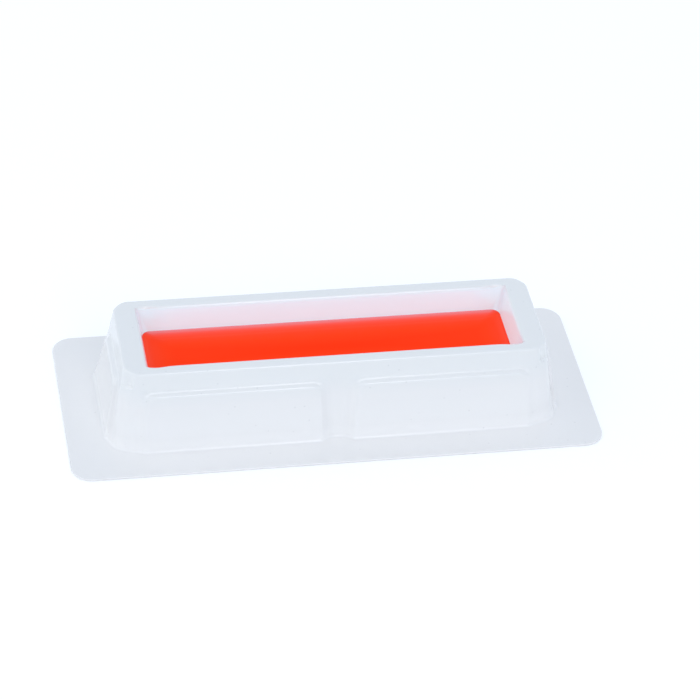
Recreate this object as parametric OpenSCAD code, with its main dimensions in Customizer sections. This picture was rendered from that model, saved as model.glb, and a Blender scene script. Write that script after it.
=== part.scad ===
// Reagent reservoir: a tray drawn in one piece from thin plastic sheet. A flat
// flange carries four sloping walls, a flat rim and a trough that holds the
// reagent. Millimetres, +Z up, origin under the middle of the flange.

/* [Sheet and flange] */
// Thickness of the sheet
sheet = 0.6; // [0.4:0.1:1]
// Length of the flange, along X
flange_l = 160; // [154:1:200]
// Width of the flange, along Y
flange_w = 66; // [58:1:90]
// Radius of the flange's corners
flange_r = 6; // [2:0.5:10]

/* [Walls and rim] */
// Height of the rim above the surface that the tray stands on
height = 26; // [22:0.5:32]
// Length across the outside of the rim
rim_l = 126.6; // [118:0.1:132]
// Width across the outside of the rim
rim_w = 35; // [32:0.1:40]
// Slope of the outer walls, from upright
wall_draft = 9; // [5:0.5:12]
// Plan radius of the walls' corners at the rim
rim_corner_r = 5; // [3:0.1:6]
// Plan radius of the walls' corners at the foot
foot_corner_r = 5.4; // [3:0.1:7]
// Round between the walls and the flange
foot_round = 1.4; // [0.6:0.1:2]
// Round along the rim's outer edge
rim_round = 1.2; // [0.8:0.1:1.5]
// Round along the rim's inner edge
lip_round = 1.1; // [0.8:0.1:1.3]

/* [Pads] */
// How far the pads stand out from the walls
pad_proud = 1.6; // [0.8:0.1:2]
// Height of the plain band between the rim and the pads' ledge
band_h = 6; // [5.5:0.1:8]
// Drop of the ledge from its root to the face of the pad
ledge_drop = 0.9; // [0.6:0.1:1.4]
// Radius of the pads' upper corners, on the face of the wall
pad_corner_r = 2.2; // [1:0.1:3]
// Gap between the two pads of a long wall
divider_w = 8.4; // [6:0.1:14]
// Width of the step at the sides of the long walls' pads
side_step = 2.2; // [1:0.1:3]
// Wall left plain between a corner and the pad of a long wall
corner_strip = 3; // [2:0.1:5]
// Width of the step at the sides of the end walls' pads
end_step = 1.1; // [0.6:0.1:1.6]
// Plain strip beside the pad of an end wall, at the ledge
end_strip_top = 3.4; // [2:0.1:4]
// Plain strip beside the pad of an end wall, at the foot
end_strip_foot = 0.9; // [0.6:0.1:3]

/* [Corner notches] */
// Height of the notches that keep stacked trays apart, from the rim down
notch_h = 5; // [4:0.1:5.4]
// Depth of the notches at their floor
notch_depth = 1; // [0.4:0.1:1.2]
// Depth of the notches at the rim
notch_lip = 0.5; // [0:0.1:0.8]
// Share of the corner's arc that a notch takes
notch_share = 0.6; // [0.4:0.05:0.8]

/* [Trough] */
// Length of the trough's opening
opening_l = 113; // [100:0.1:116]
// Width of the trough's opening
opening_w = 27.4; // [24:0.1:28]
// Plan radius of the opening's corners
opening_r = 2.6; // [1.5:0.1:4]
// Slope of the trough's walls, from upright
trough_draft = 11; // [6:0.5:13]
// Plan radius of the trough's corners where its sides turn inwards
knee_corner_r = 4.2; // [2:0.1:5]
// Height of the sloping sides above the trough's floor
groove_h = 8; // [6:0.5:10]
// Width of the trough's floor
floor_w = 6; // [5:0.5:9]
// Round where the sides turn inwards
knee_round = 5; // [2:0.5:6]
// Round along the edges of the floor
floor_round = 2; // [1:0.1:3]
// Gap between the trough and the surface that the tray stands on
under_gap = 2.4; // [1.5:0.1:4]

/* [Reagent] */
// Depth of the reagent's surface below the rim
fill_depth = 8.4; // [4:0.1:10]
// Clearance between the reagent and the trough
wet_gap = 0.05; // [0.02:0.01:0.1]

/* [Hidden] */
tray_colour = [0.90, 0.93, 0.96];
reagent_colour = [0.96, 0.16, 0.06];

round_steps = 3;      // facets along a round of the section
edge_steps = 4;       // facets along the rim's two edges
arc_steps = 8;        // facets along a corner in plan
ledge_steps = 4;      // facets along the ledge of a pad
smallest_round = 0.1;

floor_z = under_gap + sheet;
knee_z = floor_z + groove_h;
ledge_z = height - band_h;
notch_z = height - notch_h;
fill_z = height - fill_depth;
rim_extra = (rim_l - rim_w) / 2;
opening_extra = (opening_l - opening_w) / 2;

// Half width of a wall line at height z: `half` wide at the rim, sloping by `draft`
function line_at(half, draft, z) = half + (height - z) * tan(draft);

// The section across the tray's width, from the flange's edge to the middle of the trough
section = [
    [flange_w / 2, sheet],
    [line_at(rim_w / 2, wall_draft, sheet), sheet],
    [rim_w / 2, height],
    [opening_w / 2, height],
    [line_at(opening_w / 2, -trough_draft, knee_z), knee_z],
    [floor_w / 2, floor_z],
    [0, floor_z]
];
section_rounds = [0, foot_round, rim_round, lip_round, knee_round, floor_round];

function unit(v) = v / norm(v);
function mix(a, b, t) = a + (b - a) * t;
function ease(t) = let (c = min(1, max(0, t))) c * c * (3 - 2 * c);

// Turns a direction a quarter to the left, which is into the sheet
function left_of(v) = [-v.y, v.x];
function side_normal(path, i) = left_of(unit(path[i + 1] - path[i]));

// The path moved sideways by d into the sheet, with its corners mitred
function shifted(path, d) = [
    for (i = [0 : len(path) - 1])
        let (
            before = side_normal(path, max(0, i - 1)),
            after = side_normal(path, min(len(path) - 2, i))
        )
        path[i] + d * (before + after) / (1 + before * after)
];

// The round of corner i of the section, on the skin that lies `skin` deep in the sheet
function round_at(skin, i, steps) =
    let (
        path = shifted(section, skin),
        turns_left = sign(cross(path[i] - path[i - 1], path[i + 1] - path[i])),
        radius = max(smallest_round, section_rounds[i] - turns_left * skin),
        back = unit(path[i - 1] - path[i]),
        on = unit(path[i + 1] - path[i]),
        half = acos(back * on) / 2,
        centre = path[i] + unit(back + on) * radius / sin(half),
        from = path[i] + back * radius / tan(half) - centre,
        to = path[i] + on * radius / tan(half) - centre,
        sweep = 180 - 2 * half
    )
    [for (k = [0 : steps])
        centre + (sin(sweep * (1 - k / steps)) * from + sin(sweep * k / steps) * to) / sin(sweep)];

// How far a round of radius r, tangent at depth r, has cut in at depth h
function cut_in(r, h) = let (rest = r - min(r, max(0, h))) r - sqrt(r * r - rest * rest);

// ---- Rings: level outlines with the same number of points, from +X round to +Y
// and on. Each has half sizes a and b and a corner radius r.

// How much of a pad's height each mark along a side has, for an end and a long wall
end_weights = [1, 1, 0.5, 0];
long_weights = [0, 0.5, 1, 1, 0.5, 0, 0];

// Where a corner notch is cut: 1 in its middle, 0 beyond its sides
notch_ramp = 12;
function notch_at(angle) = ease((notch_share * 45 + notch_ramp / 2 - abs(angle - 45)) / notch_ramp);

function even_marks(half, count) = [for (i = [0 : count - 1]) half * i / count];

function quarter(a, b, r, y_marks, x_marks, proud, notch) = concat(
    [for (i = [0 : len(y_marks) - 1]) [a + proud * end_weights[i], y_marks[i]]],
    [for (k = [0 : arc_steps])
        let (angle = 90 * k / arc_steps, reach = r - min(notch, 0.45 * r) * notch_at(angle))
        [a - r + reach * cos(angle), b - r + reach * sin(angle)]],
    [for (i = [0 : len(x_marks) - 1]) [x_marks[i], b + proud * long_weights[i]]]
);

// A whole ring at height z from its first quarter q
function ring(q, z) =
    let (last = len(q) - 1)
    concat(
        [for (p = q) [p.x, p.y, z]],
        [for (i = [last - 1 : -1 : 0]) [-q[i].x, q[i].y, z]],
        [for (i = [1 : last]) [-q[i].x, -q[i].y, z]],
        [for (i = [last - 1 : -1 : 1]) [q[i].x, -q[i].y, z]]
    );

function plain_ring(a, b, r, z, notch = 0) =
    let (xs = even_marks(a - r, len(long_weights)))
    ring(quarter(a, b, r, even_marks(b - r, len(end_weights)),
                 [for (i = [len(xs) - 1 : -1 : 0]) xs[i]], 0, notch), z);

// ---- Outer walls
function wall_half(z, skin) = line_at(rim_w / 2, wall_draft, z) - skin / cos(wall_draft);
function wall_corner(z, skin) =
    mix(rim_corner_r, foot_corner_r, (height - z) / (height - sheet)) - skin;

// Corner radius where the section stands b from the middle, so that rounds stay concentric
function outer_r(b, z, skin) = max(0.4, wall_corner(z, skin) + b - wall_half(z, skin));

// Marks along the sides of a ring for the pads' steps, cut in by `inset` at their ends
function pad_marks(z, skin, inset) =
    let (
        wall_r = wall_corner(z, skin),
        long_lap = skin * tan(atan(pad_proud / side_step) / 2),
        end_lap = skin * tan(atan(pad_proud / end_step) / 2),
        outer_edge = wall_half(z, skin) + rim_extra - wall_r - corner_strip - long_lap - inset,
        inner_edge = divider_w / 2 + long_lap + inset,
        end_edge = wall_half(z, skin) - wall_r - end_lap - inset
            - mix(end_strip_top, end_strip_foot, (ledge_z - z) / (ledge_z - sheet))
    )
    [
        [0, end_edge - end_step / 2, end_edge, end_edge + end_step / 2],
        [outer_edge + side_step / 2, outer_edge, outer_edge - side_step / 2,
         inner_edge + side_step / 2, inner_edge, inner_edge - side_step / 2, 0]
    ];

// A ring of the walls that carries the pads, `proud` out
function pad_ring(b, z, skin, proud, inset) =
    let (marks = pad_marks(z, skin, inset))
    ring(quarter(b + rim_extra, b, outer_r(b, z, skin), marks[0], marks[1], proud, 0), z);

// The flange's edge, with the marks of the walls' foot
function flange_ring(skin) =
    let (marks = pad_marks(sheet - skin, skin, 0))
    ring(quarter(flange_l / 2, flange_w / 2, flange_r, marks[0], marks[1], 0, 0), sheet - skin);

function wall_rows(skin) =
    let (
        face_z = ledge_z - ledge_drop - skin,
        corner_turns = [90, 60, 30, 0]
    )
    concat(
        [flange_ring(skin)],
        [for (p = round_at(skin, 1, round_steps)) pad_ring(p.x, p.y, skin, pad_proud, 0)],
        [for (turn = corner_turns)
            let (z = face_z - pad_corner_r * (1 - cos(turn)))
            pad_ring(wall_half(z, skin), z, skin, pad_proud, pad_corner_r * (1 - sin(turn)))],
        [for (k = [1 : ledge_steps])
            let (z = face_z + ledge_drop * k / ledge_steps)
            pad_ring(wall_half(z, skin), z, skin, pad_proud * (1 - ease(k / ledge_steps)), pad_corner_r)]
    );

// ---- Rim, with the notches at its corners
notch_floor = 0.3;
function rim_ring(p, skin, notch) =
    plain_ring(p.x + rim_extra, p.x, outer_r(p.x, p.y, skin), p.y, notch);

function rim_rows(skin) =
    let (z = notch_z - skin)
    concat(
        [rim_ring([wall_half(z, skin), z], skin, 0)],
        [rim_ring([wall_half(z + notch_floor, skin), z + notch_floor], skin, notch_depth)],
        [for (p = round_at(skin, 2, edge_steps)) rim_ring(p, skin, notch_lip)]
    );

// ---- Trough
toe_round = 2;        // round between the trough's end walls and its floor
function trough_end(z, skin) =
    line_at(opening_l / 2, -trough_draft, z) + skin / cos(trough_draft)
    - cut_in(toe_round + skin, z - floor_z + skin);
function trough_half(z, skin) = line_at(opening_w / 2, -trough_draft, z) + skin / cos(trough_draft);
function trough_r(b, z, skin) =
    min(0.7 * b, skin + mix(opening_r, knee_corner_r, min(1, (height - z) / (height - knee_z))));

function lip_rows(skin) = [
    for (p = round_at(skin, 3, edge_steps))
        plain_ring(p.x + opening_extra, p.x,
                   trough_r(p.x, p.y, skin) + p.x - trough_half(p.y, skin), p.y)
];
function trough_ring(b, z, skin) = plain_ring(trough_end(z, skin), b, trough_r(b, z, skin), z);
function trough_rows(skin) = [
    for (corner = [4, 5], p = round_at(skin, corner, round_steps)) trough_ring(p.x, p.y, skin)
];

// ---- Solids
// A closed solid through rows of rings. The first and the last row are level, and
// close on a point in their middle.
module loft(rows) {
    count = len(rows[0]);
    points = [for (row = rows, p = row) p];
    first_pole = len(points);
    ends = [[0, 0, rows[0][0].z], [0, 0, rows[len(rows) - 1][0].z]];
    function at(j, i) = j * count + i % count;
    sides = [
        for (j = [0 : len(rows) - 2], i = [0 : count - 1])
            each [[at(j, i), at(j + 1, i), at(j + 1, i + 1)],
                  [at(j, i), at(j + 1, i + 1), at(j, i + 1)]]
    ];
    caps = [
        for (i = [0 : count - 1])
            each [[first_pole, at(0, i), at(0, i + 1)],
                  [first_pole + 1, at(len(rows) - 1, i + 1), at(len(rows) - 1, i)]]
    ];
    polyhedron(concat(points, ends), concat(sides, caps));
}

function reversed(rows) = [for (i = [len(rows) - 1 : -1 : 0]) rows[i]];
function skin_rows(skin) =
    concat(wall_rows(skin), rim_rows(skin), lip_rows(skin), trough_rows(skin));

// The tray: from under the trough out to the flange's edge, and back over the top
module reservoir_tray()
    color(tray_colour)
        loft(concat(reversed(skin_rows(sheet)), skin_rows(0)));

// The reagent: a pool that follows the trough up to its own level surface
module reagent()
    color(reagent_colour)
        loft(concat(
            reversed(trough_rows(-wet_gap)),
            [trough_ring(trough_half(fill_z, -wet_gap), fill_z, -wet_gap)]
        ));

reservoir_tray();
reagent();
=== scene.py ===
# %% [markdown]
# # A reagent reservoir formed from one thin sheet
# A reagent reservoir is a shallow tray that a row of pipette tips dips into. It is
# drawn from one warm sheet of white plastic over a mould, so everything on it is the
# same thin skin: flange, walls, pads, rim and trough. This lesson dresses the plain
# solids of the tray and of the reagent with finer surfaces and real finishes.
#
# The frame holds the solids at their real size. Everything below takes its place
# from them, in metres, and the shapes themselves are worked out in millimetres.

import math

import bpy
import numpy as np
from mathutils import Matrix, Vector


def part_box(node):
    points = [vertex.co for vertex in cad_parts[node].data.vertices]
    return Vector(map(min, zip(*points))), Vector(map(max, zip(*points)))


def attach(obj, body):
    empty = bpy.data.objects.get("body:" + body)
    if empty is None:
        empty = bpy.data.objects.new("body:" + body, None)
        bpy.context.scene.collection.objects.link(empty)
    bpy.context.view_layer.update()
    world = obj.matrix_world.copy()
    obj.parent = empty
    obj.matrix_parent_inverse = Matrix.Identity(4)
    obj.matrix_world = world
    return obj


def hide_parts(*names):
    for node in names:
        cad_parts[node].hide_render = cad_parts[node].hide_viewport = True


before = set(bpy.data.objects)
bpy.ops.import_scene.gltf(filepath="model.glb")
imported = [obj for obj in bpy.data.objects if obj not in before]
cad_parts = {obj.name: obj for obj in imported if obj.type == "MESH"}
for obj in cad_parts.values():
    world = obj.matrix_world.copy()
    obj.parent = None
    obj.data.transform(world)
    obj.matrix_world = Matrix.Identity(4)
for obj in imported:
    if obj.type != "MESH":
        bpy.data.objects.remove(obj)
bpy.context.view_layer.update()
MM = 0.001

tray_low, tray_high = (np.array(corner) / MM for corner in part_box("reservoir_tray"))
flange_l, flange_w, height = tray_high - tray_low
fill_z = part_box("reagent")[1][2] / MM
print(f"flange {flange_l:.1f} x {flange_w:.1f} mm, rim at {height:.1f}, reagent at {fill_z:.1f}")

# %% [markdown]
# ## The camera
# A long lens far away keeps the tray's long edges nearly parallel. The camera looks
# down by about 40 degrees from a little left of the front, leans a few degrees, and
# aims a little above the tray's middle and to the right of it. The camera stands at
# `distance` on the line `back` from the middle, and all these lengths are in metres.

# %% Place the camera
turn, tilt, lean = (math.radians(angle) for angle in (-12.15, 39.74, 3.95))
distance, aim_right, aim_up = 0.912, 0.0076, 0.0127
back = Vector((math.sin(turn) * math.cos(tilt), -math.cos(turn) * math.cos(tilt), math.sin(tilt)))
level = Vector((math.cos(turn), math.sin(turn), 0))
right = math.cos(lean) * level + math.sin(lean) * back.cross(level)
up = back.cross(right)
aim = aim_right * right + aim_up * up

camera = bpy.data.objects.new("camera", bpy.data.cameras.new("camera"))
bpy.context.scene.collection.objects.link(camera)
camera.data.lens = 154.4
camera.data.clip_start = 0.05
sight = (distance * back - aim).normalized()
side = (right - right.dot(sight) * sight).normalized()
turned = Matrix((side, sight.cross(side), sight)).transposed().to_4x4()
camera.matrix_world = Matrix.Translation(distance * back) @ turned
bpy.context.scene.camera = camera
print("camera at", [round(value, 3) for value in camera.location])

# %% [markdown]
# ## The sheet's section
# Cut across, the tray is one line: flange, wall, rim, trough. The line is written as
# a few corners with a radius each, and every corner becomes an arc that is tangent
# to the straight runs beside it. First comes the tool that rounds the corners.

# %% Round the corners of a line
def rounded(corners, radii, steps):
    """Line through corners, each inner one replaced by an arc of its radius.

    The arc touches both runs at radius / tan(half the angle between them), and its
    points turn evenly about a centre that lies on the angle's bisector.
    """
    corners = np.array(corners, float)
    line = [corners[:1]]
    for i, (radius, count) in enumerate(zip(radii, steps), start=1):
        before, after = corners[i - 1] - corners[i], corners[i + 1] - corners[i]
        before, after = before / np.hypot(*before), after / np.hypot(*after)
        half = math.acos(before @ after) / 2
        middle = before + after
        centre = corners[i] + middle / np.hypot(*middle) * radius / math.sin(half)
        start = corners[i] + before * radius / math.tan(half) - centre
        end = corners[i] + after * radius / math.tan(half) - centre
        sweep = math.pi - 2 * half
        share = np.linspace(0, 1, count)[:, None]
        arc = np.sin(sweep * (1 - share)) * start + np.sin(sweep * share) * end
        line.append(centre + arc / math.sin(sweep))
    line.append(corners[-1:])
    return np.concatenate(line)


print("a square corner rounded by 2 mm:")
print(rounded([(0, 0), (9, 0), (9, 9)], radii=(2,), steps=(3,)).round(2).tolist())

# %% [markdown]
# The walls lean by 9 degrees and the trough's sides by 11. The section is kept as
# separate lines for the trough, the rim and the foot, because the walls are longer
# than the trough by a different amount than they are wider.

# %% Section lines of the tray
rim_half, mouth_half, sheet = 17.5, 13.7, 0.6
wall_slope, trough_slope = math.tan(math.radians(9)), math.tan(math.radians(11))
floor_z, knee_z, foot_z, band_z = 3.0, 11.0, 4.0, 23.4
floor_half, valley_half, lip_half, rim_start, foot_flat = 2.0, 3.0, 15.2, 15.8, 2


def wall_at(z):
    """Half width of the plain outer wall at height z: it widens evenly downwards."""
    return rim_half + (height - z) * wall_slope


def trough_at(z):
    """Half width of the trough at height z: it narrows evenly downwards."""
    return mouth_half - (height - z) * trough_slope


def inner(line, skin):
    """The same line moved `skin` into the sheet, along its own normals."""
    along = np.gradient(line, axis=0)
    along = along / np.hypot(along[:, :1], along[:, 1:])
    return line + skin * along[:, ::-1] * (1, -1)


trough_line = rounded(
    [(floor_half, floor_z), (valley_half, floor_z), (trough_at(knee_z), knee_z),
     (mouth_half, height), (lip_half, height)], radii=(2, 5, 1.1), steps=(5, 7, 9))
upper_z = np.array([15.0, 17.5, 21.0, 24.2])
trough_line = np.insert(
    trough_line, np.searchsorted(trough_line[:, 1], upper_z),
    np.stack([trough_at(upper_z), upper_z], axis=1), axis=0)
rim_line = rounded(
    [(rim_start, height), (rim_half, height), (wall_at(band_z), band_z)],
    radii=(0.75,), steps=(10,))
foot_line = rounded(
    [(wall_at(foot_z), foot_z), (wall_at(sheet), sheet), (wall_at(sheet) + foot_flat, sheet)],
    radii=(1.0,), steps=(8,))
print("rows:", len(trough_line), len(rim_line), len(foot_line))

# %% [markdown]
# ## Pads on the walls
# The mould presses shallow pads out of the walls, which stiffen them. A pad has a
# flat face, soft steps at its sides and a narrow ledge at its top. Its height is a
# function of the distance outside its face: full on the face, round over the edge,
# down a straight slope and round into the wall. These small rounds catch the light as
# thin bright lines, so they are part of the shape and not left to shading.
#
# The ledge of a pad drops over `drop` and its sides over a step. Each has two radii
# in `rounds`: one at the edge of the face and one where the step meets the wall.

# %% Height of a pad at any place on a wall
pad_proud, end_proud, ledge_top = 1.6, 1.35, 19.6
divider_step, outer_step, end_step, pad_corner = 2.5, 4.0, 1.9, 1.9
long_drop, end_drop = 0.42, 1.0
rounds = {long_drop: (0.6, 0.9), end_drop: (1.3, 1.6),
          divider_step: (1.6, 4.5), outer_step: (2.0, 12.0), end_step: (1.2, 4.0)}


def rounded_step(gap, width, proud):
    """Height `gap` outside a face, falling from `proud` to 0 over `width`.

    The line of the step has two corners, and both become arcs, each of its radius.
    """
    beyond = 9
    corners = [(-beyond, proud), (0, proud), (width, 0), (width + beyond, 0)]
    step = rounded(corners, rounds[width], (13, 13))
    return np.interp(gap, step[:, 0], step[:, 1])


def pad_height(across, z, face_half, side_step, skin, drop=long_drop, proud=pad_proud):
    """How far a pad stands out, `across` from its middle line and at height z.

    Outside the face, the distance is measured to a box with round upper corners.
    Above the face the step is a narrow ledge and beside it a wide slope, and round
    the corners the two are mixed by the square of the cosine. On the skin under the
    sheet, the face ends a little sooner on all sides.
    """
    past_side = across - (face_half - 0.4 * skin - pad_corner)
    past_top = z - (ledge_top - drop - 0.9 * skin - pad_corner)
    outside = np.hypot(np.maximum(past_side, 0), np.maximum(past_top, 0))
    gap = outside + np.minimum(np.maximum(past_side, past_top), 0) - pad_corner
    sideways = (np.maximum(past_side, 0) / np.maximum(outside, 1e-9)) ** 2
    beside, above = rounded_step(gap, side_step, proud), rounded_step(gap, drop, proud)
    return sideways * beside + (1 - sideways) * above


print("half way down a ledge a pad stands out by",
      round(float(rounded_step(long_drop / 2, long_drop, pad_proud)), 2), "mm")

# %% [markdown]
# A long wall has two pads with a plain divider between them, and an end wall has one.
# The divider narrows downwards and the end pad widens downwards, because the mould's
# faces lean. Towards the corners of the tray the side steps are wide and fade into
# the walls' round corners.

# %% Places of the pads
long_inner, long_outer, end_half = 5.8, 56.9, 10.3
inner_gain, outer_gain, end_gain = 1.1, 1.3, 4.8


def long_edges(z):
    """Inner and outer edge of a long pad at height z: the pad is longer lower down."""
    fall = (ledge_top - z) / ledge_top
    return long_inner - inner_gain * fall, long_outer + outer_gain * fall


def end_edge(z):
    """Half width of the end pad at height z: it widens downwards to nearly the whole wall."""
    return end_half + end_gain * (ledge_top - z) / ledge_top


def long_pads(x, z, skin):
    """Pads of a long wall: one on each side of a plain divider that narrows downwards."""
    inner_edge, outer_edge = long_edges(z)
    across, face_half = x - (inner_edge + outer_edge) / 2, (outer_edge - inner_edge) / 2
    by_divider = pad_height(-across, z, face_half, divider_step, skin)
    return np.where(across < 0, by_divider, pad_height(across, z, face_half, outer_step, skin))


def end_pad(y, z, skin):
    """The one pad of an end wall."""
    return pad_height(y, z, end_edge(z), end_step, skin, end_drop, end_proud)


print("long pad at half height: from", *(round(edge, 2) for edge in long_edges(height / 2)), "mm")

# %% [markdown]
# ## Rings
# Each point of the section is carried round the tray as a level ring with round
# corners. The marks along a ring are counted in pad edges: a whole number lies exactly
# on an edge at every height, and the marks lie closer together near it. So the fine
# faces follow each step down the wall, and the flat parts don't waste them. One
# quarter of a ring is worked out, and the other three are its mirror images.

# %% Marks and rings
def marks(stops, spacings):
    """Places from the first stop to the last, each stretch with its own even spacing."""
    runs = [np.linspace(start, end, max(2, round((end - start) / gap) + 1))[:-1]
            for start, end, gap in zip(stops[:-1], stops[1:], spacings)]
    return np.concatenate(runs + [[stops[-1]]])


end_marks = marks([0, 0.86, 1, 2], [0.17, 0.018, 0.1])
long_marks = marks([0, 0.36, 1, 1.03, 1.97, 2, 3], [0.18, 0.045, 0.006, 0.047, 0.006, 0.1])
arc_marks = np.radians(np.linspace(0, 90, 37))[1:-1]


def spread(at_marks, places):
    """Carries marks to places, one row per ring: mark 1 lands on place 1, and so on."""
    below = np.minimum(at_marks.astype(int), places.shape[1] - 2)
    share = at_marks - below
    return places[:, below] * (1 - share) + places[:, below + 1] * share


def quarter(a, b, r, pads_at=None):
    """Quarter rings with half sizes a and b and corner radius r, one row per ring.

    From the middle of the +X end, along the straight, round the arc and along the
    long side to its middle. The marks follow the pads' edges at the heights
    `pads_at`, or fixed shares. Also gives the way out of the ring at each mark.
    """
    a, b, r = (np.asarray(value, float)[:, None] for value in (a, b, r))
    one = np.ones_like(a)
    end_places, long_places = (b - r) * (0, 0.8, 1), (a - r) * (0, 0.1, 0.96, 1)
    if pads_at is not None:
        end_places[:, 1] = end_edge(pads_at)
        long_places[:, 1], long_places[:, 2] = long_edges(pads_at)
    along_end = spread(end_marks, end_places)
    along_side = spread(long_marks, long_places)[:, ::-1]
    end = np.stack([a * np.ones_like(along_end), along_end], axis=-1)
    arc = np.stack([a - r + r * np.cos(arc_marks), b - r + r * np.sin(arc_marks)], axis=-1)
    side = np.stack([along_side, b * np.ones_like(along_side)], axis=-1)
    out_arc = np.stack([one * np.cos(arc_marks), one * np.sin(arc_marks)], axis=-1)
    out_end, out_side = np.zeros_like(end) + (1, 0), np.zeros_like(side) + (0, 1)
    out = np.concatenate([out_end, out_arc, out_side], axis=1)
    return np.concatenate([end, arc, side], axis=1), out


def whole(rows):
    """Whole rings from quarter rings: the quarter and its three mirror images."""
    flip_x, flip_y = rows * (-1, 1, 1), rows * (1, -1, 1)
    return np.concatenate([
        rows, flip_x[:, -2::-1], (rows * (-1, -1, 1))[:, 1:], flip_y[:, -2:0:-1]], axis=1)


def at_height(plan, z):
    """Adds the height z to rows of places in plan."""
    z = np.broadcast_to(np.asarray(z, float).reshape(len(plan), -1), plan.shape[:2])
    return np.concatenate([plan, z[..., None]], axis=-1)


print("marks round a ring:", 4 * (len(end_marks) + len(arc_marks) + len(long_marks)) - 4)

# %% [markdown]
# ## The tray
# The trough, the rim, the walls and the flange are blocks of rings, one after the
# other. The same functions give both skins: `skin` is 0 on top and the sheet's
# thickness underneath. `rim_extra` and `mouth_extra` say how much longer than wide
# the walls and the trough are, on each side of the middle.
#
# The trough's corners are tight at the mouth, and the sheet flares a little there,
# where it was drawn hardest.

# %% Rings of the trough
rim_extra, mouth_extra = 45.8, 42.8
mouth_corner, deep_corner, toe_depth = 1.0, 5, 2
flare_out, flare_deep, flare_long = 0.5, 3, 2.6


def trough_corner(z):
    """Corner radius of the trough: tight at the mouth, growing with the cube of the depth."""
    depth = np.clip((height - z) / (height - knee_z), 0, 1)
    return np.minimum(mouth_corner + 10 * depth ** 3, deep_corner)


def trough_rings(line, skin):
    """Quarter rings of the trough along a section line.

    The ends are steep down to the floor and turn in over a toe, a quarter of an
    ellipse. At the mouth's corners the sides flare out in a bell-shaped curve that
    dies away along the trough and down into it.
    """
    b, z = line[:, 0], line[:, 1]
    steep = mouth_half + mouth_extra - (height - z) * trough_slope + 1.02 * skin
    toe = np.clip(1 - (z - floor_z + skin) / toe_depth, 0, 1)
    a = np.where(z > knee_z, b + mouth_extra, steep) - toe_depth * (1 - np.sqrt(1 - toe ** 2))
    on_lip = np.maximum(b - trough_at(np.minimum(z, height)), 0)
    r = np.minimum(trough_corner(z) + on_lip, 0.7 * b)
    plan, _ = quarter(a, b, r)
    flare = flare_out * np.exp(-((height - z) / flare_deep) ** 2)
    flare = flare * np.clip((lip_half - b) / 1.3, 0, 1)
    near = np.exp(-((plan[..., 0] - (a - 3.5)[:, None]) / flare_long) ** 2)
    plan[..., 1] += flare[:, None] * near * np.clip(plan[..., 1] / mouth_half, 0, 1) ** 4
    return at_height(plan, z)


print("trough's corner radius:", trough_corner(height), "to", trough_corner(knee_z), "mm")

# %% [markdown]
# The pads stand out of the walls along each ring's outward way. Under the rim each
# corner has a small notch, pressed in towards the trough, that keeps stacked trays
# apart. Its sides and its floor are steps that ease in and out.

# %% Rings of the walls
wall_corner, corner_gain = 5, 0.4
notch_floor, notch_step, notch_lip, notch_depth = 20.8, 0.4, 0.12, 1.0
notch_half, notch_side = 0.17, 0.22


def eased_step(t, ease):
    """Falls from 1 to 0 as t goes from 0 to 1, straight in between, eased at both ends.

    It is the average of a clamped line over t - ease to t + ease, so each bend
    becomes a parabola that is 2 * ease long.
    """
    def area(x):
        return np.where(x < 0, 0, np.where(x < 1, x * x / 2, x - 0.5))
    return 1 - (area(t + ease) - area(t - ease)) / (2 * ease)


def wall_rings(line, skin):
    """Quarter rings of the outer wall along a section line, with pads and notches.

    The way along an end wall or a long wall is carried on into the corner's arc by
    the length of the arc, so a pad's outer step can fade out there. A notch is a
    range of angles about the corner's middle, and is deeper lower down.
    """
    b, z = line[:, 0], line[:, 1]
    r = np.maximum(wall_corner + corner_gain * (height - z) / height + b - wall_at(z), 0.6)
    plan, out = quarter(b + rim_extra, b, r, pads_at=z)
    ends, arcs = len(end_marks), len(arc_marks)
    a, b, r, z = (value[:, None] for value in (b + rim_extra, b, r, z))
    end_run = np.concatenate([plan[:, :ends, 1], b - r + r * arc_marks], axis=1)
    side_run = np.concatenate(
        [a - r + r * (math.pi / 2 - arc_marks), plan[:, ends + arcs:, 0]], axis=1)
    rise = np.pad(end_pad(end_run, z, skin), ((0, 0), (0, len(long_marks))))
    rise[:, ends:] += long_pads(side_run, z, skin)
    below_rim = (height - z) / (height - notch_floor)
    depth = notch_lip + (notch_depth - notch_lip) * below_rim
    depth = depth * eased_step((notch_floor - 0.9 * skin + notch_step - z) / notch_step, ease=0.2)
    off_middle = np.abs(arc_marks - math.pi / 4) - 0.08 * skin
    narrowed = eased_step((off_middle - notch_half) / notch_side, ease=0.3)
    rise[:, ends:ends + arcs] -= depth * narrowed
    return at_height(plan + out * rise[..., None], z)


print("notches from", notch_floor, "mm up to the rim at", round(float(height), 2), "mm")

# %% [markdown]
# The flange is cut from the flat rest of the sheet. The rows of a skin lie closest
# together where the ledges and the notches bend, and the skin underneath, which is
# seldom seen, has half as many.

# %% Rings of the flange and of a whole skin
flange_corner, broken = 6.0, 0.06
notch_z = [21.5, 21.3, 21.22, 21.15, 21.07, 20.98, 20.88, 20.8, 20.73, 20.62]
plain_z = [15.0, 13.0, 11.0, 9.0, 7.0, 5.5]


def flange_rings(start, skin):
    """Quarter rings from the last ring of the walls out to the flange's edge.

    The cut edge is broken by a tenth of a millimetre at its two corners.
    """
    edge, _ = quarter([flange_l / 2 - broken], [flange_w / 2 - broken], [flange_corner])
    rim, _ = quarter([flange_l / 2], [flange_w / 2], [flange_corner + broken])
    shares = np.array([0.1, 0.3, 0.6, 0.9, 0.99, 1.0])[:, None, None]
    flat = start[None] * (1 - shares) + at_height(edge, [sheet - skin]) * shares
    turn_down = 0.08 if skin == 0 else -0.08
    return np.concatenate([flat, at_height(rim, [sheet - skin - turn_down])])


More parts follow.
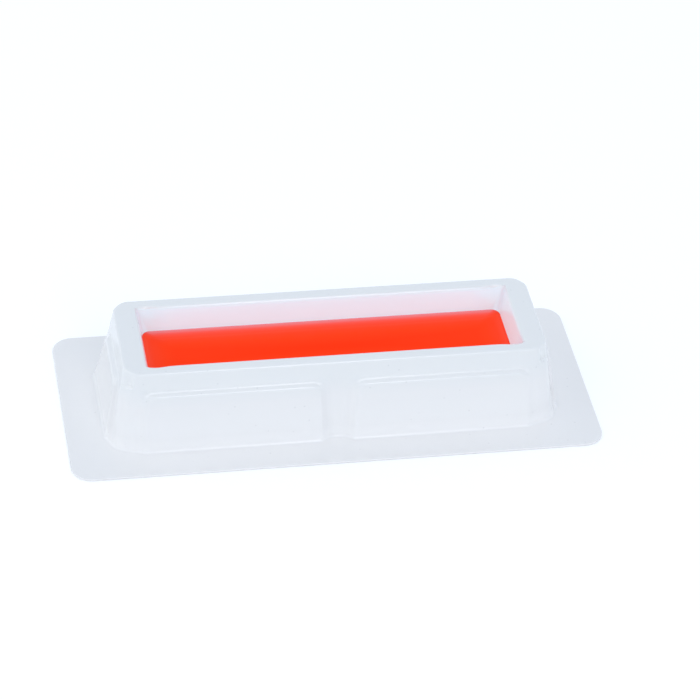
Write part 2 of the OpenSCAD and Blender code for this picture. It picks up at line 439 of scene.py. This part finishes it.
def skin_rings(skin, fine):
    """All quarter rings of one skin, from the trough's floor to the flange's edge."""
    step = 1 if fine else 2
    ledge_z = marks([16.9, 19.0 - 0.9 * skin, 20.45], [0.24 * step, 0.055 * step ** 2])[::-1]
    wall_z = np.concatenate([notch_z[::step], ledge_z, plain_z])
    walls = np.concatenate([
        inner(rim_line, skin)[::step],
        inner(np.stack([wall_at(wall_z), wall_z], axis=1)[::-1], -skin)[::-1],
        inner(foot_line, skin)[:-1]])
    walls = wall_rings(walls, skin)
    return np.concatenate([
        trough_rings(inner(trough_line, skin), skin)[::step], walls, flange_rings(walls[-1], skin)])


upper_skin, under_skin = skin_rings(0.0, fine=True), skin_rings(sheet, fine=False)
print("rows and marks of a quarter:", upper_skin.shape[:2], under_skin.shape[:2])

# %% [markdown]
# ## From rings to a mesh
# A grid of rings becomes four-sided faces by numbering alone: each face joins two
# neighbours on one ring to the same two on the next. The upper skin runs out to the
# flange's edge and the under skin runs back, so one list of rings wraps the whole
# sheet, and a point closes each skin in the middle of the trough's floor. The
# volume that the faces enclose shows that they all point outwards.

# %% Turn rings into a mesh
def ring_mesh(name, rings):
    """Mesh of closed rings, with a point in the middle of the first and last ring.

    Each face and the origin make a tetrahedron, whose volume is a sixth of the
    product of its corners, and these volumes add up to that of the piece.
    """
    rows, count = rings.shape[:2]
    at = np.arange(rows * count).reshape(rows, count)
    on = np.roll(at, -1, axis=1)
    quads = np.stack([at[:-1], on[:-1], on[1:], at[1:]], axis=-1).reshape(-1, 4)
    poles = [rings[0].mean(0), rings[-1].mean(0)]
    first = np.stack([on[0], at[0], np.full(count, at.size)], axis=-1)
    last = np.stack([at[-1], on[-1], np.full(count, at.size + 1)], axis=-1)
    points = np.concatenate([rings.reshape(-1, 3), poles])
    mesh = bpy.data.meshes.new(name)
    mesh.from_pydata(points * MM, [], quads.tolist() + first.tolist() + last.tolist())
    mesh.shade_smooth()
    piece = bpy.data.objects.new(name, mesh)
    bpy.context.scene.collection.objects.link(piece)
    corners = points[np.concatenate([first, last, quads[:, :3], quads[:, [0, 2, 3]]])]
    spans = np.einsum("ij,ij->i", corners[:, 0], np.cross(corners[:, 1], corners[:, 2]))
    volume = spans.sum() / 6 / 10 ** 3
    print(f"{name}: {len(mesh.polygons)} faces, {volume:.2f} cm3")
    return piece


tray = ring_mesh("formed_tray", whole(np.concatenate([under_skin, upper_skin[::-1]])))

# %% [markdown]
# The finish differs from place to place, and these places carry painted light and
# shade: the trough's walls, drawn thin, get a paler, cooler colour and a faint glow
# that stand for light coming into the trough, the end walls' corners get a painted
# pink reflection of the reagent, and the steep sides of the end pads get painted shade.
# Each place is a share from 0 to 1 that the mesh keeps at its points, so the finish
# follows the surface. A share is mostly a clamped distance, which gives a soft border
# a few millimetres wide.

# %% Keep the places of the finish on the tray
def positions(piece):
    """The piece's points in millimetres, one row each."""
    places = np.empty(len(piece.data.vertices) * 3)
    piece.data.vertices.foreach_get("co", places)
    return places.reshape(-1, 3) / MM


def keep_value(piece, name, values):
    """Keeps one number per point as an attribute that a material can read."""
    piece.data.attributes.new(name, "FLOAT", "POINT").data.foreach_set("value", values)


def share_along(measure, length):
    """Share that grows evenly from 0 to 1 as a measure goes from 0 to `length`."""
    return np.clip(measure / length, 0, 1)


along, beside, up_z = np.abs(positions(tray)).T
past_mouth = np.maximum(along - mouth_extra, beside) - mouth_half
inside = (past_mouth < 0.3) & (up_z > knee_z)
near_end, below_lip = share_along(along - 47, 6), share_along(height - 0.2 - up_z, 0.8)
# painted light: marks the trough's walls, which are painted paler and given a faint glow
keep_value(tray, "drawn", below_lip * inside * (1 - 0.27 * near_end))
on_end_wall = share_along(along - mouth_extra - beside + 1, 1)
# painted reflection: marks the end walls' corners, which are painted more pink
keep_value(tray, "painted_reflection_corner", inside * on_end_wall * share_along(beside - 8, 4))
# painted shade: marks the end pads' steep sides, which are painted a little darker
over_step = (beside - end_edge(up_z)) / end_step
outer_end = share_along(along - rim_extra - beside + 2, 1)
off_flange = share_along(up_z - sheet, 5) * share_along(ledge_top - up_z, 2)
on_step = np.clip(1.3 - np.abs(over_step - 0.6) / 0.7, 0, 1)
keep_value(tray, "steep", on_step * outer_end * off_flange)
print("points on thin walls:", int(inside.sum()), "of", len(inside))
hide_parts("reservoir_tray")
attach(tray, "root")

# %% [markdown]
# ## The reagent
# A liquid wets the wall and climbs it a little, in a curve that dies away over about
# two millimetres. That small meniscus is what gives a pool its bright edge. The pool
# follows the trough underneath, sunk into the wall by a fiftieth of a millimetre so
# that no gap shows. Its surface is a set of rings that shrink inwards.

# %% Build the reagent's mesh
sunk, wet_edge = 0.02, 0.5
inward = np.array([
    0, 0.06, 0.15, 0.3, 0.5, 0.75, 1.1, 1.6, 2.2, 3.0, 3.35, 3.7, 4.4, 5.5, 7.0, 9.0])
climb = 0.55 * np.exp(-inward / 0.8)
wet_line = trough_line[trough_line[:, 1] < fill_z - wet_edge]
wetted = trough_rings(inner(wet_line, sunk), sunk)
top_half, top_corner = trough_at(fill_z) + sunk, float(trough_corner(fill_z))
top_plan, _ = quarter(top_half + mouth_extra - inward, top_half - inward,
                      np.maximum(top_corner - 0.6 * inward, 0.8))
surface = at_height(top_plan, fill_z + climb)
surface[0, :, :2] *= 1 + 0.75 * trough_slope / top_half * np.array([0.2, 1])
pool = ring_mesh("red_reagent", whole(np.concatenate([wetted, surface])))
print("meniscus", climb[0], "mm high, corner radius", round(top_corner, 2), "mm")

# %% [markdown]
# The mesh keeps how far each point lies from the wall, because a clear coloured
# liquid is deeper and darker away from it. The end walls go down more steeply than
# the long ones, so there the liquid is already deep close to the wall.

# %% Keep the distance from the wall on the reagent
deepest, end_depth, end_slowing = 12.0, 2.8, 0.35
ring_count = (len(pool.data.vertices) - 2) // (len(wetted) + len(surface))
from_wall = np.repeat(np.concatenate([np.zeros(len(wetted)), inward]), ring_count)
along, beside, up_z = np.abs(positions(pool)[:-2]).T
at_end = share_along(along - beside - mouth_extra + 2, 3)
from_end = from_wall + (end_depth - end_slowing * from_wall) * at_end
from_wall = np.where(from_wall > 0, from_end, 0)
keep_value(pool, "from_wall", np.concatenate([from_wall, [0, deepest]]) / deepest)
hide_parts("reagent")
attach(pool, "root")
print("distance from the wall:", from_wall.min(), "to", round(from_wall.max(), 2), "mm")

# %% [markdown]
# ## Finishes
# Each finish is a principled shader with a few nodes in front of it. Values that are
# the same all over a surface are set on the shader itself. Colours are mixed in steps,
# so a small helper makes one mixing node, and another fills a colour ramp whose stops
# are placed by a real measure.

# %% Tools for the finishes
def finish(name):
    """A new material and its principled shader, with its lists of nodes and links."""
    material = bpy.data.materials.new(name)
    material.use_nodes = True
    tree = material.node_tree
    return material, tree.nodes, tree.links, tree.nodes["Principled BSDF"]


def mixed(factor, first, second, how="MIX"):
    """Colour between two others: each input is a plain value or another node's output."""
    node = nodes.new("ShaderNodeMix")
    node.data_type, node.blend_type = "RGBA", how
    for socket, value in (("Factor", factor), ("A", first), ("B", second)):
        if isinstance(value, bpy.types.NodeSocket):
            links.new(value, node.inputs[socket])
        else:
            node.inputs[socket].default_value = value
    return node.outputs["Result"]


def kept(name):
    """The number that the mesh keeps at each point under this name."""
    node = nodes.new("ShaderNodeAttribute")
    node.attribute_name = name
    return node.outputs["Fac"]


def ramp(measure, length, stops):
    """Colour by a share from 0 to 1, with stops placed at measures from 0 to `length`."""
    node = nodes.new("ShaderNodeValToRGB")
    elements = node.color_ramp.elements
    elements.remove(elements[1])
    for place, colour in stops.items():
        stop = elements.new(place / length) if place else elements[0]
        stop.position, stop.color = place / length, (*colour, 1)
    links.new(measure, node.inputs["Fac"])
    return node.outputs["Color"]


print("tools:", finish.__name__, mixed.__name__, kept.__name__, ramp.__name__)

# %% [markdown]
# ### White sheet
# The sheet is white plastic with a smooth skin that lets a little light in. Forming
# stretches it, so its white varies over a few millimetres in soft clouds.

# %% Shader and tint of the sheet
white_sheet, nodes, links, skin = finish("white_satin_sheet")
skin.inputs["IOR"].default_value = 1.59
skin.inputs["Specular IOR Level"].default_value = 0.7
skin.inputs["Subsurface Weight"].default_value = 0.15
skin.inputs["Subsurface Radius"].default_value = (1.0, 1.0, 1.1)
skin.inputs["Subsurface Scale"].default_value = 0.001
where = nodes.new("ShaderNodeTexCoord").outputs["Object"]
cloudy = nodes.new("ShaderNodeTexNoise")
cloudy.inputs["Scale"].default_value = 60
cloudy.inputs["Detail"].default_value = 3
links.new(where, cloudy.inputs["Vector"])
darker_white, lighter_white = (0.843, 0.824, 0.806, 1), (0.858, 0.835, 0.811, 1)
tint = mixed(cloudy.outputs["Fac"], darker_white, lighter_white)
print("white between", darker_white[:3], "and", lighter_white[:3])

# %% [markdown]
# The sheet's colour follows the height, and this is painted light and shade. Low
# down it is painted paler, most of all where a wall meets the flange, standing for
# light from the floor that comes through the thin walls. Higher up, from the pads'
# ledges over the rim, it is painted darker and cooler: painted shade. The flange's cut
# edge is painted pale too: painted light over the dark line of shade where it meets the floor.

# %% Colour of the sheet by height: painted light and shade
split = nodes.new("ShaderNodeSeparateXYZ")
links.new(where, split.inputs["Vector"])
share_of_height = nodes.new("ShaderNodeMath")
share_of_height.operation = "DIVIDE"
share_of_height.inputs[1].default_value = height * MM
links.new(split.outputs["Z"], share_of_height.inputs[0])
# painted light: paler at the cut edge and at the foot; painted shade: darker from under the ledges
# over the rim
painted_light_cut_edge, on_flange, painted_light_at_foot = (0.95, 0.95, 0.955), (0.906, 0.911, 0.912), (1, 1, 1)
on_wall, painted_shade_under_rim = (0.906, 0.911, 0.912), (0.859, 0.883, 0.887)
painted_light_by_height = ramp(share_of_height.outputs["Value"], height, {
    0: painted_light_cut_edge, 0.4: painted_light_cut_edge, 0.55: on_flange, sheet + 0.02: on_flange, 0.9: painted_light_at_foot,
    2: (0.98, 0.985, 0.985), 5: (0.912, 0.918, 0.918), 15: on_wall, 20.5: painted_shade_under_rim})
tint_with_painted_light = mixed(1, tint, painted_light_by_height, "MULTIPLY")
print("white at the foot against white under the rim:", round(painted_light_at_foot[0] / painted_shade_under_rim[0], 3))

# %% [markdown]
# The ambient occlusion node measures how hidden a point is, and the colour is painted
# paler there: painted light that takes the shade out of the nooks, standing for light
# that comes through the thin sheet from behind. The steep sides of the end pads are
# painted a little greyer: painted shade. Tiny dark specks are trapped in the plastic:
# cells of four millimetres with a small spot in the middle of some.

# %% Painted light in nooks, painted shade on steep sides, and specks
nook = nodes.new("ShaderNodeAmbientOcclusion")
nook.samples = 8
nook.only_local = True
nook.inputs["Distance"].default_value = 16 * MM
# painted light: the colour is paler where a point is hidden
painted_light_in_nooks = mixed(nook.outputs["AO"], (1.0, 0.98, 0.96, 1), tint_with_painted_light)
cells = nodes.new("ShaderNodeTexVoronoi")
cells.inputs["Scale"].default_value = 250
links.new(where, cells.inputs["Vector"])
speck = nodes.new("ShaderNodeMapRange")
speck.inputs["From Max"].default_value = 0.09
speck.inputs["To Min"].default_value = 0.22
speck.inputs["To Max"].default_value = 0
links.new(cells.outputs["Distance"], speck.inputs["Value"])
speckled = mixed(speck.outputs["Result"], painted_light_in_nooks, (0.25, 0.25, 0.26, 1))
# painted shade: the end pads' steep sides are a little darker
painted_shade_on_steep_sides = mixed(kept("steep"), speckled, (0.935, 0.93, 0.93, 1), "MULTIPLY")
print("light is gathered over", round(nook.inputs["Distance"].default_value / MM), "mm")

# %% [markdown]
# The walls of the trough were drawn the furthest, so they are the thinnest. Their
# colour is painted paler and cooler and given a faint cool glow: painted light that
# stands for the light coming through them, and keeps the pink cast of the reagent from
# filling the whole trough. The end walls' corners are painted more pink: a painted
# reflection of red light that has met the reagent several times.

# %% Painted light on the trough's thin walls
drawn = kept("drawn")
# painted light: a paler, cooler colour on the trough's walls
painted_paler_trough = mixed(drawn, painted_shade_on_steep_sides, (0.80, 0.95, 0.967, 1))
# painted reflection: red light from the reagent, painted into the end walls' corners
pink_painted_reflection = mixed(kept("painted_reflection_corner"), painted_paler_trough, (0.955, 0.87, 0.895, 1), "MULTIPLY")
links.new(pink_painted_reflection, skin.inputs["Base Color"])
# painted light: a faint cool glow on the trough's walls
through = (0.06, 0.10, 0.125, 1)
links.new(mixed(drawn, (0, 0, 0, 1), through), skin.inputs["Emission Color"])
skin.inputs["Emission Strength"].default_value = 1.0
print("glow of the thin walls:", through[:3])

# %% [markdown]
# The gloss follows the same clouds as the white, and a fine grain breaks up the
# reflections very slightly.

# %% Gloss and grain
smooth, rough = 0.15, 0.19
gloss = nodes.new("ShaderNodeMapRange")
gloss.inputs["To Min"].default_value = smooth
gloss.inputs["To Max"].default_value = rough
links.new(cloudy.outputs["Fac"], gloss.inputs["Value"])
links.new(gloss.outputs["Result"], skin.inputs["Roughness"])
grain = nodes.new("ShaderNodeTexNoise")
grain.inputs["Scale"].default_value = 900
links.new(where, grain.inputs["Vector"])
relief = nodes.new("ShaderNodeBump")
relief.inputs["Strength"].default_value = 0.02
relief.inputs["Distance"].default_value = 0.0002
links.new(grain.outputs["Fac"], relief.inputs["Height"])
links.new(relief.outputs["Normal"], skin.inputs["Normal"])
tray.data.materials.append(white_sheet)
print("white sheet: roughness", smooth, "to", rough)

# %% [markdown]
# ### Reagent
# The reagent is clear and strongly coloured. Its colour comes from its depth: a thin
# layer over the white wall is pale, and it turns orange and then deep red away from
# the wall. The pale edge is also a painted reflection of the wall in the meniscus,
# and one faint paler line where the trough bends under it is painted light. A ramp on
# the distance gives that without tracing light through the liquid, and a trace of red
# glow stands for the light that comes back up from below.

# %% Red reagent
red_reagent, nodes, links, liquid = finish("clear_red_reagent")
liquid.inputs["Roughness"].default_value = 0.03
liquid.inputs["IOR"].default_value = 1.33
liquid.inputs["Specular IOR Level"].default_value = 0.08
liquid.inputs["Emission Color"].default_value = (1.0, 0.02, 0.0, 1)
liquid.inputs["Emission Strength"].default_value = 0.08
# depth colour, with a painted reflection at the edge and a painted light line at 3.35 mm
depth_colour_and_painted_light = {
    0.0: (0.84, 0.25, 0.26), 0.47: (0.88, 0.205, 0.20), 0.83: (0.92, 0.150, 0.135),
    1.2: (0.96, 0.112, 0.085), 1.9: (1.0, 0.080, 0.048), 3.0: (1.0, 0.064, 0.026),
    3.35: (1.0, 0.070, 0.028), 3.7: (1.0, 0.062, 0.022), 4.4: (1.0, 0.053, 0.013),
    6.6: (1.0, 0.046, 0.006), 11.3: (1.0, 0.033, 0.001)}
links.new(ramp(kept("from_wall"), deepest, depth_colour_and_painted_light), liquid.inputs["Base Color"])
pool.data.materials.append(red_reagent)
print("red reagent:", len(depth_colour_and_painted_light), "colours from the wall inwards")

# %% [markdown]
# ## Floor and light
# The tray stands on a pale floor, which lies a tenth of a millimetre lower so that
# the two surfaces don't flicker into each other. The floor is part of the stage and
# not of the object.

# %% Lay the floor
floor_half_size, floor_drop = 3, 0.0001
floor_corners = [(x * floor_half_size, y * floor_half_size, 0)
                 for x, y in ((-1, -1), (1, -1), (1, 1), (-1, 1))]
floor_mesh = bpy.data.meshes.new("floor")
floor_mesh.from_pydata(floor_corners, [], [(0, 1, 2, 3)])
floor = bpy.data.objects.new("floor", floor_mesh)
bpy.context.scene.collection.objects.link(floor)
floor.location.z = -floor_drop
pale, _, _, ground = finish("pale_floor")
ground.inputs["Base Color"].default_value = (0.96, 0.96, 0.96, 1)
ground.inputs["Roughness"].default_value = 0.9
ground.inputs["Specular IOR Level"].default_value = 0.1
ground.inputs["Emission Color"].default_value = (1, 1, 1, 1)
ground.inputs["Emission Strength"].default_value = 0.07
floor_mesh.materials.append(pale)
print("floor", 2 * floor_half_size, "m wide")

# %% [markdown]
# A light tent gives even and slightly cool light from all round. A tall narrow panel
# above the front draws the thin bright lines on the small rounds, a wide one beside
# it keeps the front soft, and a large one lights the left end.

# %% World and lights
def toward(turned, raised, far):
    """A place `far` metres away, turned to the right of the front and raised, in degrees."""
    turned, raised = math.radians(turned), math.radians(raised)
    flat = far * math.cos(raised)
    return flat * math.sin(turned), -flat * math.cos(turned), far * math.sin(raised)


def panel(name, place, size, power, colour=(1, 1, 1)):
    """An area light at a place, turned to the tray's middle."""
    lamp = bpy.data.lights.new(name, "AREA")
    lamp.shape, lamp.size, lamp.size_y = "RECTANGLE", size[0], size[1]
    lamp.energy, lamp.color = power, colour
    holder = bpy.data.objects.new(name, lamp)
    bpy.context.scene.collection.objects.link(holder)
    holder.location = place
    holder.rotation_euler = Vector(place).to_track_quat("Z", "Y").to_euler()
    return holder


world = bpy.data.worlds.new("light_tent")
bpy.context.scene.world = world
world.use_nodes = True
tent = world.node_tree.nodes["Background"]
tent.inputs["Color"].default_value = (0.80, 0.88, 1.0, 1)
tent.inputs["Strength"].default_value = 1.045
far_off = 1.3
panel("front_panel", toward(12, 43, far_off), (0.2, 1.05), 1.5, (1, 0.96, 0.98))
panel("soft_front", toward(5, 42, far_off), (1.4, 0.8), 0.85)
panel("left_panel", toward(-90, 32, far_off), (2.0, 1.3), 2.8, (1, 0.97, 0.9))
bpy.context.scene.view_settings.view_transform = "Standard"
